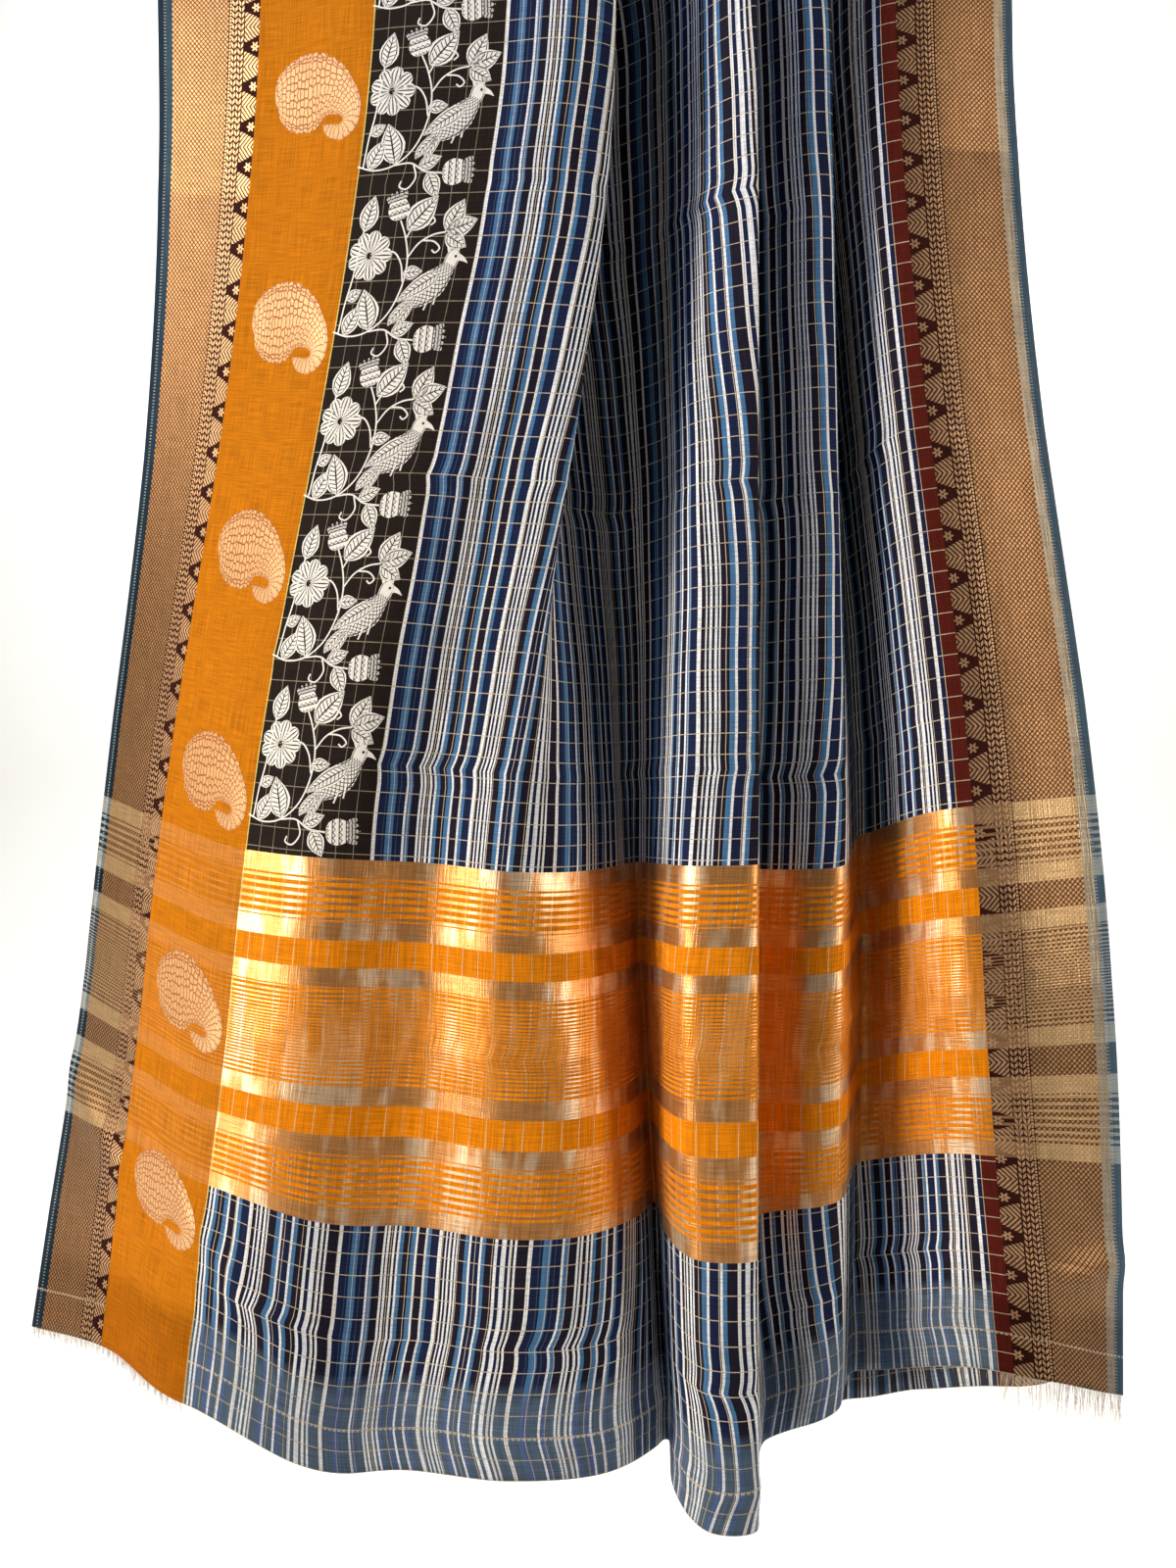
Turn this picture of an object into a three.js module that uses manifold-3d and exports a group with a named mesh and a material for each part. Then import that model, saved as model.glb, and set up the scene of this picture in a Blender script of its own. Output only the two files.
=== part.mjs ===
// A saree, one woven length 5.5 m long and 1.15 m wide, folded in half and hung by its middle
// over a round rail that isn't part of it. Four stretches of the doubled cloth hang down: the
// decorated end in front with the plain end behind it, and two more behind the rail, joined by
// the fold at their foot. The cloth is gathered at the rail into three deep pleats that open
// towards the hem. Millimetres, +Z up, the rail along X, the front towards -Y, and the origin on
// top of the rail, under the middle of the fold.

import * as THREE from "three";
import { mergeVertices } from "three/addons/utils/BufferGeometryUtils.js";
import Module from "manifold-3d";

// Driving dimensions.
const CLOTH_WIDTH = 1150; // selvedge to selvedge
const WALL = 1.2; // thickness of the cloth's wall
const SEAM = 0.3; // gap where two pieces meet
const RIDGE_GAP = 0.8; // between the front and back stretches, whose edges lean at the ridge
const RAIL_RADIUS = 14; // the rail that the inner cloth lies on
const FALL = 1340; // from the rail's centre down to the mean line of the front hem
const BACK_FALL = 1334; // from the rail's centre down to the fold at the foot of the back
const GAP_AT_RAIL = 4.5; // between the middles of the outer and the inner cloth
const GAP_AT_HEM = 10;
const TURN_STEPS = 2; // rows in a quarter turn over the rail
const MITRE_LIMIT = 2.5; // how far a sharp fold's corner may move out, in offsets

// Storage creases run straight across the cloth, folded to the front and the back in turn.
const CREASE_FIRST = 97; // height of the lowest crease above the hem, along the cloth
const CREASE_STEP = 214;
const CREASE_DEPTH = 2.5;

// Heights of the sections that the table of folds gives.
const HEIGHT = {
  rail: -RAIL_RADIUS,
  high: -273,
  low: -1007,
  hem: -RAIL_RADIUS - FALL,
  backMiddle: -700,
  backFoot: -RAIL_RADIUS - BACK_FALL,
};

// The folds from the left selvedge to the right one. Each row is one line that runs down the
// cloth. Its columns are [x, distance from the rail's centre] where the cloth turns over the
// rail, and [x, y] at the other heights. steps is the number of columns since the fold before.
const FOLDS = [
  { line: "left selvedge", rail: [-352, 17], high: [-353, 10], low: [-437, 75], hem: [-471, 30],
    backMiddle: [-372, 60], backFoot: [-412, 48] },
  { line: "border's inner edge", steps: 3, rail: [-252, 17.5], high: [-252, -30], low: [-354, 0],
    hem: [-383, -35], backMiddle: [-270, 92], backFoot: [-312, 88] },
  { line: "orange strip's edge", steps: 3, rail: [-156, 18], high: [-160, -85], low: [-276, -65],
    hem: [-310, -103], backMiddle: [-168, 112], backFoot: [-212, 118] },
  { line: "first swell", steps: 3, rail: [-82, 40], high: [-64, -108], low: [-205, -92],
    hem: [-225, -118], backMiddle: [-80, 100], backFoot: [-128, 96] },
  { line: "first dip", steps: 3, rail: [-6, 43], high: [-10, -120], low: [-130, -72],
    hem: [-140, -98], backMiddle: [-14, 128], backFoot: [-60, 120] },
  { line: "first pleat's edge", steps: 4, rail: [16, 37], high: [16, -110], low: [-62, -95],
    hem: [-60, -112], backMiddle: [14, 120], backFoot: [-14, 114] },
  { line: "first pleat's underside", steps: 6, rail: [-62, 28], high: [-42, -35], low: [-20, -84],
    hem: [10, -100], backMiddle: [-60, 70], backFoot: [-52, 66] },
  { line: "first pleat's root", steps: 4, rail: [-68, 22], high: [-35, 2], low: [20, -42],
    hem: [48, -62], backMiddle: [-52, 38], backFoot: [-36, 38] },
  { line: "first valley", steps: 5, rail: [8, 18], high: [10, 12], low: [45, 5],
    hem: [66, -28], backMiddle: [14, 34], backFoot: [34, 36] },
  { line: "rise to the second pleat", steps: 4, rail: [58, 19], high: [55, -20], low: [58, -45],
    hem: [70, -70], backMiddle: [66, 62], backFoot: [84, 64] },
  { line: "second pleat's shoulder", steps: 5, rail: [84, 39], high: [98, -85], low: [78, -92],
    hem: [92, -108], backMiddle: [106, 118], backFoot: [120, 122] },
  { line: "second pleat's edge", steps: 3, rail: [106, 34], high: [120, -103], low: [121, -92],
    hem: [119, -104], backMiddle: [126, 124], backFoot: [146, 128] },
  { line: "second pleat's underside", steps: 3, rail: [88, 28], high: [112, -72], low: [110, -65],
    hem: [124, -70], backMiddle: [114, 90], backFoot: [140, 94] },
  { line: "second valley", steps: 3, rail: [92, 19.5], high: [119, -58], low: [132, -36],
    hem: [136, -40], backMiddle: [132, 62], backFoot: [158, 66] },
  { line: "third pleat's shoulder", steps: 4, rail: [136, 40], high: [165, -85], low: [170, -60],
    hem: [172, -60], backMiddle: [176, 92], backFoot: [204, 94] },
  { line: "third pleat's edge", steps: 2, rail: [188, 34.5], high: [181, -80], low: [192, -60],
    hem: [190, -52], backMiddle: [198, 90], backFoot: [226, 90] },
  { line: "third pleat's underside", steps: 5, rail: [146, 28], high: [172, -20], low: [208, -30],
    hem: [200, -25], backMiddle: [206, 56], backFoot: [236, 58] },
  { line: "third valley", steps: 4, rail: [142, 21.5], high: [178, 8], low: [224, -2],
    hem: [212, -6], backMiddle: [222, 34], backFoot: [254, 38] },
  { line: "right border's inner edge", steps: 9, rail: [240, 17.5], high: [226, -62], low: [292, -86],
    hem: [329, -85], backMiddle: [290, 104], backFoot: [324, 104] },
  { line: "right selvedge", steps: 4, rail: [348, 17], high: [333, -42], low: [399, -75],
    hem: [417, -45], backMiddle: [398, 112], backFoot: [432, 108] },
];

// How much higher than the mean a line woven straight across hangs, on the body of the cloth and
// at the hem, by the distance across from the left selvedge.
const LIFT = [
  { across: 0, body: 40, hem: 45 },
  { across: 110, body: 18, hem: 54 },
  { across: 215, body: 0, hem: 45 },
  { across: 350, body: -9, hem: -5 },
  { across: 480, body: -17, hem: -7 },
  { across: 590, body: -13, hem: -8 },
  { across: 690, body: -11, hem: -44 },
  { across: 739, body: -10, hem: -49 },
  { across: 790, body: -17, hem: -18 },
  { across: 850, body: -15, hem: 13 },
  { across: 922, body: 6, hem: 29 },
  { across: 1040, body: 32, hem: 60 },
  { across: 1150, body: 42, hem: 26 },
];
const BODY_HEIGHT = 347; // above the hem, where the body's lift holds fully
const LIFT_END = 1080; // above the hem, where the lift starts to fade out towards the rail
const BACK_LIFT = 18; // how far the fold at the foot of the back waves up and down
const BACK_LIFT_WAVES = 2.5;

// How much higher than the front hem's mean line the plain end's edge hangs.
const END_EDGE = [
  { across: 0, rise: 90 },
  { across: 350, rise: 66 },
  { across: 600, rise: 48 },
  { across: 740, rise: 16 },
  { across: 850, rise: 0 },
  { across: 905, rise: -3 },
  { across: 978, rise: 24 },
  { across: 1050, rise: 45 },
  { across: 1150, rise: 50 },
];

// Rows of the four stretches, in millimetres above the mean line of the front hem, or above the
// fold at the foot of the back.
const FRONT_ROWS = [0, 97, 204, 311, 525, 739, 953, 1167, 1255];
const END_ROWS = [0, 97, 311, 525, 739, 953, 1167, 1255];
const BACK_ROWS = [40, 311, 525, 739, 953, 1167, 1255];

// The value at z of a curve through rising knots, with slopes that never overshoot them.
function smoothThrough(heights, values, z) {
  const last = heights.length - 1;
  const clamped = Math.min(Math.max(z, heights[0]), heights[last]);
  let i = 0;
  while (i < last - 1 && clamped > heights[i + 1]) i += 1;
  const slope = (k) => (values[k + 1] - values[k]) / (heights[k + 1] - heights[k]);
  const tangent = (k) => {
    if (k === 0) return slope(0);
    if (k === last) return slope(last - 1);
    const before = slope(k - 1);
    const after = slope(k);
    return before * after <= 0 ? 0 : (2 * before * after) / (before + after);
  };
  const span = heights[i + 1] - heights[i];
  const t = (clamped - heights[i]) / span;
  const rise = values[i + 1] - values[i];
  const start = tangent(i) * span;
  const end = tangent(i + 1) * span;
  return values[i] + t * start + t * t * (3 * rise - 2 * start - end) + t * t * t * (start + end - 2 * rise);
}

// The levels of one side from the foot to the rail, as the names of the table's columns.
const SIDES = {
  front: ["hem", "low", "high", "rail"],
  back: ["backFoot", "backMiddle", "rail"],
};

// One fold's [x, y] at height z. In front of the rail the distance from its centre counts as -y.
function foldPoint(fold, side, z) {
  const sign = side === "front" ? -1 : 1;
  const heights = SIDES[side].map((level) => HEIGHT[level]);
  const xs = SIDES[side].map((level) => fold[level][0]);
  const ys = SIDES[side].map((level) => (level === "rail" ? sign * fold.rail[1] : fold[level][1]));
  return new THREE.Vector3(smoothThrough(heights, xs, z), smoothThrough(heights, ys, z), 0);
}

// Places along the row of folds where the columns of every mesh lie, from 0 to 1.
const COLUMNS = FOLDS.slice(1).flatMap(({ steps }, i) => (
  Array.from({ length: steps }, (_, k) => (i + k / steps) / (FOLDS.length - 1))
)).concat(1);

// One cloth cut level at height z: a smooth curve through the folds, each moved off the doubled
// cloth's middle line by offset, to the left as the line runs towards +X.
function section(side, z, offset = 0) {
  const folds = FOLDS.map((fold) => foldPoint(fold, side, z));
  const normals = normalsOf(folds);
  const moved = folds.map((point, i) => point.clone().addScaledVector(normals[i], offset));
  const curve = new THREE.CatmullRomCurve3(moved, false, "centripetal");
  return COLUMNS.map((place) => curve.getPoint(place));
}

// Distance across the cloth at each point of a section, scaled to its real width.
function acrossOf(points) {
  const run = [0];
  for (let i = 1; i < points.length; i += 1) {
    run.push(run[i - 1] + points[i].distanceTo(points[i - 1]));
  }
  return run.map((length) => (length * CLOTH_WIDTH) / run[run.length - 1]);
}

// Unit normals at the folds, to the left of a line through them, longer at a sharp fold so that
// the moved line keeps its distance from both of the fold's sides.
function normalsOf(points) {
  const last = points.length - 1;
  return points.map((point, i) => {
    const before = points[Math.max(i, 1)].clone().sub(points[Math.max(i, 1) - 1]).normalize();
    const after = points[Math.min(i, last - 1) + 1].clone().sub(points[Math.min(i, last - 1)]).normalize();
    const along = before.clone().add(after).normalize();
    const mitre = Math.min(MITRE_LIMIT, 1 / Math.max(along.dot(before), 1 / MITRE_LIMIT));
    return new THREE.Vector3(-along.y * mitre, along.x * mitre, 0);
  });
}

// The lift at a distance across the cloth and a height above its lower edge.
function liftAt(across, up) {
  const places = LIFT.map((row) => row.across);
  const body = smoothThrough(places, LIFT.map((row) => row.body), across);
  const hem = smoothThrough(places, LIFT.map((row) => row.hem), across);
  const towardsBody = THREE.MathUtils.smoothstep(up, 0, BODY_HEIGHT);
  const fade = 1 - THREE.MathUtils.smoothstep(up, LIFT_END, FALL);
  return (hem + (body - hem) * towardsBody) * fade;
}

// The storage creases: a zigzag that turns at each crease and dies out before the rail.
function creaseAt(up) {
  const phase = (up - CREASE_FIRST) / CREASE_STEP;
  const zigzag = 1 - 4 * Math.abs(phase / 2 - Math.floor(phase / 2) - 0.5);
  return CREASE_DEPTH * zigzag * (1 - THREE.MathUtils.smoothstep(up, LIFT_END, FALL));
}

// Half the gap between the two cloths at height z.
function halfGap(z) {
  return THREE.MathUtils.mapLinear(z, HEIGHT.rail, HEIGHT.hem, GAP_AT_RAIL, GAP_AT_HEM) / 2;
}

// One row of a stretch below the rail. outAt gives how far out of the doubled cloth's middle the
// row lies at a height, heightOf gives a point's height from its distance across the cloth, and
// shift moves the row along Y.
function fallRow(side, outAt, meanHeight, heightOf, shift = 0) {
  const outwards = side === "front" ? -1 : 1;
  const across = acrossOf(section(side, meanHeight));
  return across.map((distance, i) => {
    const z = heightOf(distance);
    const point = section(side, z, outwards * outAt(z))[i];
    return point.setY(point.y + shift).setZ(z);
  });
}

// The rows of a quarter turn over the rail, from level with its centre up to the ridge.
function turnRows(side, layer) {
  const sign = side === "front" ? -1 : 1;
  const rim = section(side, HEIGHT.rail, (sign * layer * GAP_AT_RAIL) / 2);
  return Array.from({ length: TURN_STEPS + 1 }, (_, k) => {
    const angle = (Math.PI / 2) * (k / TURN_STEPS);
    return rim.map((point) => {
      const y = sign * Math.max(Math.abs(point.y) * Math.cos(angle), RIDGE_GAP / 2);
      return new THREE.Vector3(point.x, y, HEIGHT.rail + Math.abs(point.y) * Math.sin(angle));
    });
  });
}

// A closed wall about a grid of points: each point moves out and in by half the wall along the
// grid's own normal, and the four edges are closed. front tells which way the outer face looks.
function wallOf(rows, front) {
  const high = rows.length;
  const wide = rows[0].length;
  const at = (r, c) => rows[Math.min(Math.max(r, 0), high - 1)][Math.min(Math.max(c, 0), wide - 1)];
  const vertices = [];
  for (const side of [1, -1]) {
    for (let r = 0; r < high; r += 1) {
      for (let c = 0; c < wide; c += 1) {
        const alongWidth = at(r, c + 1).clone().sub(at(r, c)).normalize()
          .add(at(r, c).clone().sub(at(r, c - 1)).normalize());
        const alongHeight = at(r + 1, c).clone().sub(at(r - 1, c));
        const normal = alongWidth.cross(alongHeight).normalize();
        vertices.push(at(r, c).clone().addScaledVector(normal, (side * front * WALL) / 2));
      }
    }
  }
  const sheet = high * wide;
  const index = [];
  const quad = (a, b, c, d) => index.push(a, b, c, a, c, d);
  for (let r = 0; r < high - 1; r += 1) {
    for (let c = 0; c < wide - 1; c += 1) {
      const low = r * wide + c;
      const next = low + wide;
      quad(low, low + 1, next + 1, next);
      quad(sheet + low, sheet + next, sheet + next + 1, sheet + low + 1);
    }
  }
  for (let c = 0; c < wide - 1; c += 1) {
    const top = (high - 1) * wide + c;
    quad(c, sheet + c, sheet + c + 1, c + 1);
    quad(top, top + 1, sheet + top + 1, sheet + top);
  }
  for (let r = 0; r < high - 1; r += 1) {
    const left = r * wide;
    const right = left + wide - 1;
    quad(left, left + wide, sheet + left + wide, sheet + left);
    quad(right, sheet + right, sheet + right + wide, right + wide);
  }
  return geometryOf(vertices, front > 0 ? index : index.reverse());
}

function geometryOf(vertices, index) {
  const geometry = new THREE.BufferGeometry();
  geometry.setAttribute("position", new THREE.Float32BufferAttribute(vertices.flatMap((v) => v.toArray()), 3));
  geometry.setIndex(index);
  return geometry;
}

// The decorated end: from the hem up the front and over to the ridge.
function frontFall() {
  const rows = FRONT_ROWS.map((up) => fallRow(
    "front",
    halfGap,
    HEIGHT.hem + up,
    (across) => HEIGHT.hem + up + liftAt(across, up),
    creaseAt(up),
  ));
  return wallOf([...rows, ...turnRows("front", 1)], 1);
}

// The plain end, behind the decorated one.
function endFall() {
  const places = END_EDGE.map((row) => row.across);
  const rises = END_EDGE.map((row) => row.rise);
  const rows = END_ROWS.map((up) => {
    const fade = 1 - up / FALL;
    const z = HEIGHT.hem + up;
    const heightOf = (across) => z + smoothThrough(places, rises, across) * fade;
    return fallRow("front", (level) => -halfGap(level), z, heightOf, creaseAt(up));
  });
  return wallOf([...rows, ...turnRows("front", -1)], 1);
}

// A back stretch. Its lowest rows bend round the fold at the foot, where the other one starts.
function backFall(layer) {
  const bendRadius = GAP_AT_HEM / 2;
  const footLift = (across) => BACK_LIFT * Math.cos((across / CLOTH_WIDTH) * BACK_LIFT_WAVES * 2 * Math.PI);
  const bend = [0, 1, 2].map((k) => {
    const angle = (Math.PI / 4) * k;
    const out = Math.max(bendRadius * Math.sin(angle), (SEAM + WALL) / 2);
    const z = HEIGHT.backFoot + bendRadius * (1 - Math.cos(angle));
    return fallRow("back", () => layer * out, z, (across) => z + footLift(across));
  });
  const rows = BACK_ROWS.map((up) => {
    const fade = 1 - THREE.MathUtils.smoothstep(up, 0, LIFT_END);
    const z = HEIGHT.backFoot + up;
    const outAt = (level) => layer * halfGap(level);
    return fallRow("back", outAt, z, (across) => z + footLift(across) * fade, -creaseAt(up));
  });
  return wallOf([...bend, ...rows, ...turnRows("back", layer)], -1);
}

// Fringe: the warp's cut ends below the hem, bound into a narrow strip of the last few threads.
const FRINGE_STRIP = 3; // height of the strip
const FRINGE_STRAND = 1.1; // thickness of a strand at its root
const FRINGES = [
  { name: "fringe_left_border", from: 1, to: 214, strands: 44, length: 7, splay: 2 },
  { name: "fringe_right_border", from: 1042, to: 1149, strands: 40, length: 19, splay: 5 },
];

// Point and outward direction on the decorated end's hem at a distance across.
function hemPoint(hem, across, place) {
  const i = Math.max(1, across.findIndex((value) => value >= place));
  const t = (place - across[i - 1]) / (across[i] - across[i - 1]);
  return {
    point: hem[i - 1].clone().lerp(hem[i], t),
    along: hem[i].clone().sub(hem[i - 1]).setZ(0).normalize(),
  };
}

// A manifold solid from a closed geometry.
function solidOf(wasm, geometry) {
  const plain = geometry.index ? geometry.toNonIndexed() : geometry.clone();
  plain.deleteAttribute("normal");
  plain.deleteAttribute("uv");
  const merged = mergeVertices(plain);
  return new wasm.Manifold(new wasm.Mesh({
    numProp: 3,
    vertProperties: new Float32Array(merged.attributes.position.array),
    triVerts: new Uint32Array(merged.index.array),
  }));
}

function fringe(wasm, hem, across, { from, to, strands, length, splay }) {
  const drop = WALL / 2 + SEAM;
  const stations = across.filter((value) => value > from && value < to);
  const edge = [from, ...stations, to].map((place) => hemPoint(hem, across, place).point);
  const strip = [drop + FRINGE_STRIP, drop].map((down) => edge.map((p) => p.clone().setZ(p.z - down)));
  let solid = solidOf(wasm, wallOf(strip, 1));
  for (let k = 0; k < strands; k += 1) {
    const place = THREE.MathUtils.lerp(from + FRINGE_STRAND, to - FRINGE_STRAND, k / (strands - 1));
    const { point, along } = hemPoint(hem, across, place);
    const strand = new THREE.ConeGeometry(FRINGE_STRAND / 2, length, 3, 1);
    const lean = Math.sin(k * 0.4) * splay;
    strand.rotateX(-Math.PI / 2);
    const positions = strand.attributes.position;
    for (let v = 0; v < positions.count; v += 1) {
      const down = 0.5 - positions.getZ(v) / length;
      positions.setX(v, positions.getX(v) + along.x * lean * down);
      positions.setY(v, positions.getY(v) + along.y * lean * down);
    }
    strand.translate(point.x, point.y, point.z - drop - FRINGE_STRIP / 2 - length / 2);
    solid = solid.add(solidOf(wasm, strand));
  }
  const mesh = solid.getMesh();
  const geometry = new THREE.BufferGeometry();
  geometry.setAttribute("position", new THREE.BufferAttribute(new Float32Array(mesh.vertProperties), 3));
  geometry.setIndex(new THREE.BufferAttribute(new Uint32Array(mesh.triVerts), 1));
  return geometry;
}

// The pieces, each in its own colour.
const stripedCotton = new THREE.MeshStandardMaterial({ color: 0x27304a, roughness: 0.75, metalness: 0 });
const plainEnd = new THREE.MeshStandardMaterial({ color: 0x32405c, roughness: 0.78, metalness: 0 });
const bodyCloth = new THREE.MeshStandardMaterial({ color: 0x232b42, roughness: 0.75, metalness: 0 });
const lining = new THREE.MeshStandardMaterial({ color: 0x2c3550, roughness: 0.78, metalness: 0 });
const frayedEnds = new THREE.MeshStandardMaterial({ color: 0xcdb497, roughness: 0.85, metalness: 0 });

const saree = new THREE.Group();
saree.name = "saree";

function add(name, geometry, material) {
  const mesh = new THREE.Mesh(geometry, material);
  mesh.name = name;
  saree.add(mesh);
}

add("pallu_front_fall", frontFall(), stripedCotton);
add("plain_end_fall", endFall(), plainEnd);
add("back_outer_fall", backFall(1), bodyCloth);
add("back_inner_fall", backFall(-1), lining);

const wasm = await Module();
wasm.setup();
const hemRow = fallRow("front", halfGap, HEIGHT.hem, (across) => HEIGHT.hem + liftAt(across, 0), creaseAt(0));
const hemAcross = acrossOf(section("front", HEIGHT.hem));
for (const row of FRINGES) {
  add(row.name, fringe(wasm, hemRow, hemAcross, row), frayedEnds);
}

export default saree;
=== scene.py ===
import bpy
import numpy as np
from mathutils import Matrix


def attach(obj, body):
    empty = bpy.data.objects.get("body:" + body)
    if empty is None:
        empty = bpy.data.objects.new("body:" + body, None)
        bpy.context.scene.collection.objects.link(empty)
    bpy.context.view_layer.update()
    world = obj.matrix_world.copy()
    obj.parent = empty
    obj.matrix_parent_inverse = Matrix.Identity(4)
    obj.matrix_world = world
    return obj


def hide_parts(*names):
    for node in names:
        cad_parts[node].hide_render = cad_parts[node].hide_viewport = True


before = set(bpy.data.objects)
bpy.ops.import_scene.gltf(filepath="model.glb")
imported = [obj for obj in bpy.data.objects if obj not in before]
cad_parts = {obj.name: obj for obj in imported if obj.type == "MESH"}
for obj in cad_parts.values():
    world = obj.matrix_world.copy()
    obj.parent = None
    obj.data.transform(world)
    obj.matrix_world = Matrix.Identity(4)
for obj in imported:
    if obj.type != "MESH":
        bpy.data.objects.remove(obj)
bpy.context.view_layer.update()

# Camera.
# At the photograph's angle: level, square to the front, about a metre away and opposite the
# cloth's middle, so that the top of the fold is out of the picture.
CAMERA_PLACE = (0.0, -1.080, -0.851)
CAMERA_LENS = 30.24  # mm, on a 36 mm side along the picture's height

camera_data = bpy.data.cameras.new("camera")
camera_data.lens = CAMERA_LENS
camera_data.sensor_fit = "VERTICAL"
camera_data.sensor_height = 36.0
camera = bpy.data.objects.new("camera", camera_data)
camera.location = CAMERA_PLACE
camera.rotation_euler = (np.pi / 2, 0.0, 0.0)
bpy.context.scene.collection.objects.link(camera)
bpy.context.scene.camera = camera

# Decorated end, the outer cloth in front.
# The saree's pallu: fine cotton and silk with printed stripes, gold check threads, a gold band
# and brocade borders. It hangs from the rail, gathered into three deep pleats.
# Sizes are millimetres; across runs from the left selvedge and up from the front hem's mean line.
CLOTH_WIDTH = 1150.0
RAIL_LEVEL = -14.0  # height of the rail's centre
FRONT_HEM = -1354.0
FRONT_FALL = RAIL_LEVEL - FRONT_HEM
BACK_FOOT = -1348.0
GAP_AT_RAIL = 4.5  # between the middles of the outer and the inner cloth
GAP_AT_HEM = 10.0
RIDGE_GAP = 0.8  # between the front and the back stretches on top
RIDGE_ARC = 45.0  # length of cloth from level with the rail's centre up to the ridge
MITRE_LIMIT = 2.5  # most by which a sharp fold moves out further than its sides
SHELL = 0.4  # thickness of the shown cloth
LIFT_END = 1080.0  # above this the weft lines' rise and the creases fade out
BODY_HEIGHT = 347.0  # below this the hem's rise takes over from the body's
CREASE_FIRST = 97.0  # height of the lowest storage crease
CREASE_STEP = 214.0
CREASE_DEPTH = 2.5
CREASE_TILT = 0.09  # slope that the creases add to the surface's shading
KINK = 2.2  # how far a storage crease pushes the threads aside
KINK_WIDTH = 7.0
HEM_CREASE = 31.0  # height of the stitched crease along the hem
HEM_LEAN = 9.0  # how far the threads lean aside at it
HEM_LEAN_END = 130.0  # height from which they stand straight again

# The heights of each side's folds, from below, and where they are in a row of FOLDS.
LEVELS = {
    "front": ((FRONT_HEM, -1007.0, -273.0, RAIL_LEVEL), (3, 2, 1, 0)),
    "back": ((BACK_FOOT, -700.0, RAIL_LEVEL), (5, 4, 0)),
}
# One row a fold, left to right: (x, distance from the rail's centre) at the rail and (x, y) at
# each other height; the last number is the columns of mesh since the fold before.
FOLDS = (
    ((-352, 17), (-353, 10), (-437, 75), (-471, 30), (-372, 60), (-412, 48), 0),
    ((-252, 17.5), (-252, -30), (-354, 0), (-383, -35), (-270, 92), (-312, 88), 16),
    ((-156, 18), (-160, -85), (-276, -65), (-310, -103), (-168, 112), (-212, 118), 16),
    ((-82, 40), (-64, -108), (-205, -92), (-225, -118), (-80, 100), (-128, 96), 14),
    ((-6, 43), (-10, -120), (-130, -72), (-140, -98), (-14, 128), (-60, 120), 14),
    ((16, 37), (16, -110), (-62, -95), (-60, -112), (14, 120), (-14, 114), 14),
    ((-62, 28), (-42, -35), (-20, -84), (10, -100), (-60, 70), (-52, 66), 16),
    ((-68, 22), (-35, 2), (20, -42), (48, -62), (-52, 38), (-36, 38), 12),
    ((8, 18), (10, 12), (45, 5), (66, -28), (14, 34), (34, 36), 14),
    ((58, 19), (55, -20), (58, -45), (70, -70), (66, 62), (84, 64), 12),
    ((84, 39), (98, -85), (78, -92), (92, -108), (106, 118), (120, 122), 12),
    ((106, 34), (120, -103), (121, -92), (119, -104), (126, 124), (146, 128), 10),
    ((88, 28), (112, -72), (110, -65), (124, -70), (114, 90), (140, 94), 10),
    ((92, 19.5), (119, -58), (132, -36), (136, -40), (132, 62), (158, 66), 8),
    ((136, 40), (165, -85), (170, -60), (172, -60), (176, 92), (204, 94), 10),
    ((188, 34.5), (181, -80), (192, -60), (190, -52), (198, 90), (226, 90), 9),
    ((146, 28), (172, -20), (208, -30), (200, -25), (206, 56), (236, 58), 10),
    ((142, 21.5), (178, 8), (224, -2), (212, -6), (222, 34), (254, 38), 9),
    ((240, 17.5), (226, -62), (292, -86), (329, -85), (290, 104), (324, 104), 20),
    ((348, 17), (333, -42), (399, -75), (417, -45), (398, 112), (432, 108), 14),
)
# Place of each column of mesh along the folds, from 0 to the last fold's number.
COLUMNS = np.concatenate([
    i + np.arange(row[-1]) / row[-1] for i, row in enumerate(FOLDS[1:])
] + [[len(FOLDS) - 1.0]])
# How much higher than the mean a weft line hangs: across, on the body, at the hem.
LIFT = np.array((
    (0, 40, 45), (110, 18, 54), (215, 0, 45), (350, -9, -5), (480, -17, -7), (590, -13, -8),
    (690, -11, -44), (739, -10, -49), (790, -17, -18), (850, -15, 13), (922, 6, 29),
    (1040, 32, 60), (1150, 42, 26),
), float)
# Small soft buckles: across, up, half length, half width, angle from the weft in degrees, height.
BUCKLES = np.array((
    (70, 170, 90, 16, -34, 5.0), (150, 118, 95, 14, -38, -4.0), (262, 96, 80, 12, -40, 4.5),
    (330, 60, 70, 12, -36, 3.5), (905, 330, 34, 9, 12, 3.0), (940, 300, 30, 8, -14, -2.5),
    (1120, 96, 40, 12, 20, 5.0), (360, 800, 60, 12, 74, 2.5), (560, 420, 90, 14, 80, 2.5),
    (640, 300, 80, 12, 84, -2.5), (820, 620, 90, 12, 82, 2.0), (180, 610, 60, 10, -12, 1.8),
    (500, 24, 120, 10, 3, 2.5), (700, 30, 60, 9, -6, 2.5), (1000, 40, 60, 10, 5, 2.5),
), float)


def smoothstep(value, low, high):
    """Rises from 0 at low to 1 at high, level at both ends: 3t² - 2t³."""
    share = np.clip((value - low) / (high - low), 0.0, 1.0)
    return share * share * (3.0 - 2.0 * share)


def hermite(t, value, rise, start, end):
    """The cubic from value up by rise while t goes from 0 to 1, with these end slopes."""
    return value + t * start + t * t * (3 * rise - 2 * start - end) + t ** 3 * (start + end - 2 * rise)


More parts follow.
